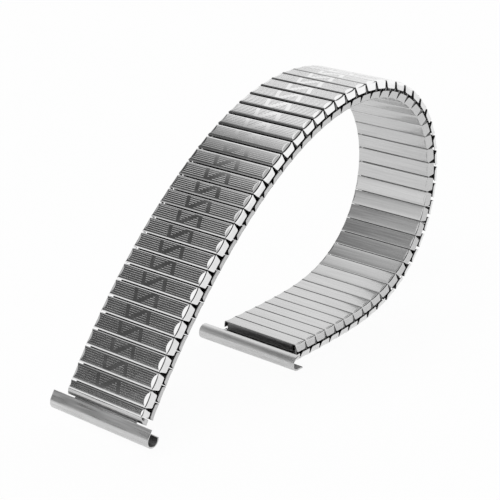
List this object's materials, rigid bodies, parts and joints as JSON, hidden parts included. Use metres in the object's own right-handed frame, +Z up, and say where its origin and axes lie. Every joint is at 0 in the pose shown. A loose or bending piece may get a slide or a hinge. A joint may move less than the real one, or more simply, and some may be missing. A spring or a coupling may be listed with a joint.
{
  "type": "expansion watch band",
  "caption": "Stainless expansion watch band of sprung sleeve links in two staggered rows, with engraved crowned covers and rolled end channels that take spring bars.",
  "frame": {"origin": "axis of the spring bar seat in the lower end channel, in the middle of the band's width", "axes": "+X from the lower end towards the turn of the curl, +Y across the band along the spring bar, +Z up"},
  "size_m": [0.0783, 0.0196, 0.0428],
  "materials": {
    "cover_steel": "polished with engraved lines",
    "sleeve_steel": "satin, brushed across the band",
    "bow_steel": "plain strip",
    "spring_steel": "plain spring strip",
    "channel_steel": "satin"
  },
  "bodies": {
    "run_1": {"top_covers_1": "cover_steel", "sleeves_1": "sleeve_steel", "bows_1": "bow_steel", "leaf_springs_1": "spring_steel", "upper_half_cover": "cover_steel", "upper_end_sleeve": "sleeve_steel", "upper_end_channel": "channel_steel"},
    "run_2": {"top_covers_2": "cover_steel", "sleeves_2": "sleeve_steel", "bows_2": "bow_steel", "leaf_springs_2": "spring_steel"},
    "run_3": {"top_covers_3": "cover_steel", "sleeves_3": "sleeve_steel", "bows_3": "bow_steel", "leaf_springs_3": "spring_steel"},
    "run_4": {"top_covers_4": "cover_steel", "sleeves_4": "sleeve_steel", "bows_4": "bow_steel", "leaf_springs_4": "spring_steel"},
    "run_5": {"top_covers_5": "cover_steel", "sleeves_5": "sleeve_steel", "bows_5": "bow_steel", "leaf_springs_5": "spring_steel"},
    "run_6": {"top_covers_6": "cover_steel", "sleeves_6": "sleeve_steel", "bows_6": "bow_steel", "leaf_springs_6": "spring_steel"},
    "run_7": {"top_covers_7": "cover_steel", "sleeves_7": "sleeve_steel", "bows_7": "bow_steel", "leaf_springs_7": "spring_steel"},
    "run_8": {"top_covers_8": "cover_steel", "sleeves_8": "sleeve_steel", "bows_8": "bow_steel", "leaf_springs_8": "spring_steel"},
    "run_9": {"top_covers_9": "cover_steel", "sleeves_9": "sleeve_steel", "bows_9": "bow_steel", "leaf_springs_9": "spring_steel", "lower_half_cover": "cover_steel", "lower_end_sleeve": "sleeve_steel", "lower_end_channel": "channel_steel"},
    "pivot_1": {"pivot_sleeve_1": "sleeve_steel"},
    "swing_1": {"swing_bows_1": "bow_steel"},
    "pivot_2": {"pivot_sleeve_2": "sleeve_steel"},
    "swing_2": {"swing_bows_2": "bow_steel"},
    "pivot_3": {"pivot_sleeve_3": "sleeve_steel"},
    "swing_3": {"swing_bows_3": "bow_steel"},
    "pivot_4": {"pivot_sleeve_4": "sleeve_steel"},
    "swing_4": {"swing_bows_4": "bow_steel"},
    "pivot_5": {"pivot_sleeve_5": "sleeve_steel"},
    "swing_5": {"swing_bows_5": "bow_steel"},
    "pivot_6": {"pivot_sleeve_6": "sleeve_steel"},
    "swing_6": {"swing_bows_6": "bow_steel"},
    "pivot_7": {"pivot_sleeve_7": "sleeve_steel"},
    "swing_7": {"swing_bows_7": "bow_steel"},
    "pivot_8": {"pivot_sleeve_8": "sleeve_steel"},
    "swing_8": {"swing_bows_8": "bow_steel"}
  },
  "joints": [
    {"name": "stretch_8", "type": "slide", "parent": "run_9", "child": "pivot_8", "axis": [0.9997, 0, 0.0244], "range_m": [0, 0.0008], "stiffness_N_per_m": 400, "springref_m": -0.0005},
    {"name": "bow_swing_8", "type": "hinge", "parent": "run_9", "child": "swing_8", "pos_m": [0.01643, 0, -0.00086], "axis": [0, 1, 0], "range_deg": [0, 30.5]},
    {"name": "curl_8", "type": "hinge", "parent": "pivot_8", "child": "run_8", "pos_m": [0.01836, 0, 0.00137], "axis": [0, -1, 0], "range_deg": [-1.15, 8]},
    {"name": "stretch_7", "type": "slide", "parent": "run_8", "child": "pivot_7", "axis": [0.8695, 0, 0.4939], "range_m": [0, 0.0008], "stiffness_N_per_m": 400, "springref_m": -0.0005},
    {"name": "bow_swing_7", "type": "hinge", "parent": "run_8", "child": "swing_7", "pos_m": [0.03277, 0, 0.00292], "axis": [0, 1, 0], "range_deg": [0, 30.5]},
    {"name": "curl_7", "type": "hinge", "parent": "pivot_7", "child": "run_7", "pos_m": [0.03333, 0, 0.00594], "axis": [0, -1, 0], "range_deg": [-4.16, 8]},
    {"name": "stretch_6", "type": "slide", "parent": "run_7", "child": "pivot_6", "axis": [0.1736, 0, 0.9848], "range_m": [0, 0.0008], "stiffness_N_per_m": 400, "springref_m": -0.0005},
    {"name": "bow_swing_6", "type": "hinge", "parent": "run_7", "child": "swing_6", "pos_m": [0.04227, 0, 0.01732], "axis": [0, 1, 0], "range_deg": [0, 30.5]},
    {"name": "curl_6", "type": "hinge", "parent": "pivot_6", "child": "run_6", "pos_m": [0.0403, 0, 0.01968], "axis": [0, -1, 0], "range_deg": [-4.3, 8]},
    {"name": "stretch_5", "type": "slide", "parent": "run_6", "child": "pivot_5", "axis": [-0.6833, 0, 0.7302], "range_m": [0, 0.0008], "stiffness_N_per_m": 400, "springref_m": -0.0005},
    {"name": "bow_swing_5", "type": "hinge", "parent": "run_6", "child": "swing_5", "pos_m": [0.03688, 0, 0.03375], "axis": [0, 1, 0], "range_deg": [0, 30.5]},
    {"name": "curl_5", "type": "hinge", "parent": "pivot_5", "child": "run_5", "pos_m": [0.0338, 0, 0.03357], "axis": [0, -1, 0], "range_deg": [-4.26, 8]},
    {"name": "stretch_4", "type": "slide", "parent": "run_5", "child": "pivot_4", "axis": [-0.9979, 0, 0.0645], "range_m": [0, 0.0008], "stiffness_N_per_m": 400, "springref_m": -0.0005},
    {"name": "bow_swing_4", "type": "hinge", "parent": "run_5", "child": "swing_4", "pos_m": [0.02095, 0, 0.0401], "axis": [0, 1, 0], "range_deg": [0, 30.5]},
    {"name": "curl_4", "type": "hinge", "parent": "pivot_4", "child": "run_4", "pos_m": [0.01883, 0, 0.03795], "axis": [0, -1, 0], "range_deg": [-2.44, 8]},
    {"name": "stretch_3", "type": "slide", "parent": "run_4", "child": "pivot_3", "axis": [-0.9285, 0, -0.3714], "range_m": [0, 0.0008], "stiffness_N_per_m": 400, "springref_m": -0.0005},
    {"name": "bow_swing_3", "type": "hinge", "parent": "run_4", "child": "swing_3", "pos_m": [0.00453, 0, 0.03691], "axis": [0, 1, 0], "range_deg": [0, 30.5]},
    {"name": "curl_3", "type": "hinge", "parent": "pivot_3", "child": "run_3", "pos_m": [0.00351, 0, 0.03409], "axis": [0, -1, 0], "range_deg": [-1.51, 8]},
    {"name": "stretch_2", "type": "slide", "parent": "run_3", "child": "pivot_2", "axis": [-0.8007, 0, -0.599], "range_m": [0, 0.0008], "stiffness_N_per_m": 400, "springref_m": -0.0005},
    {"name": "bow_swing_2", "type": "hinge", "parent": "run_3", "child": "swing_2", "pos_m": [-0.00959, 0, 0.02852], "axis": [0, 1, 0], "range_deg": [0, 30.5]},
    {"name": "curl_2", "type": "hinge", "parent": "pivot_2", "child": "run_2", "pos_m": [-0.00986, 0, 0.02557], "axis": [0, -1, 0], "range_deg": [-0.83, 8]},
    {"name": "stretch_1", "type": "slide", "parent": "run_2", "child": "pivot_1", "axis": [-0.6896, 0, -0.7242], "range_m": [0, 0.0008], "stiffness_N_per_m": 400, "springref_m": -0.0005},
    {"name": "bow_swing_1", "type": "hinge", "parent": "run_2", "child": "swing_1", "pos_m": [-0.02164, 0, 0.01763], "axis": [0, 1, 0], "range_deg": [0, 30.5]},
    {"name": "curl_1", "type": "hinge", "parent": "pivot_1", "child": "run_1", "pos_m": [-0.02143, 0, 0.01468], "axis": [0, -1, 0], "range_deg": [-0.74, 8]}
  ],
  "couplings": [
    {"joint": "stretch_1", "follows": "stretch_8", "ratio": 1},
    {"joint": "bow_swing_1", "follows": "stretch_8", "rad_per_m": 654.5},
    {"joint": "stretch_2", "follows": "stretch_8", "ratio": 1},
    {"joint": "bow_swing_2", "follows": "stretch_8", "rad_per_m": 654.5},
    {"joint": "stretch_3", "follows": "stretch_8", "ratio": 1},
    {"joint": "bow_swing_3", "follows": "stretch_8", "rad_per_m": 654.5},
    {"joint": "stretch_4", "follows": "stretch_8", "ratio": 1},
    {"joint": "bow_swing_4", "follows": "stretch_8", "rad_per_m": 654.5},
    {"joint": "stretch_5", "follows": "stretch_8", "ratio": 1},
    {"joint": "bow_swing_5", "follows": "stretch_8", "rad_per_m": 654.5},
    {"joint": "stretch_6", "follows": "stretch_8", "ratio": 1},
    {"joint": "bow_swing_6", "follows": "stretch_8", "rad_per_m": 654.5},
    {"joint": "stretch_7", "follows": "stretch_8", "ratio": 1},
    {"joint": "bow_swing_7", "follows": "stretch_8", "rad_per_m": 654.5},
    {"joint": "bow_swing_8", "follows": "stretch_8", "rad_per_m": 654.5}
  ]
}
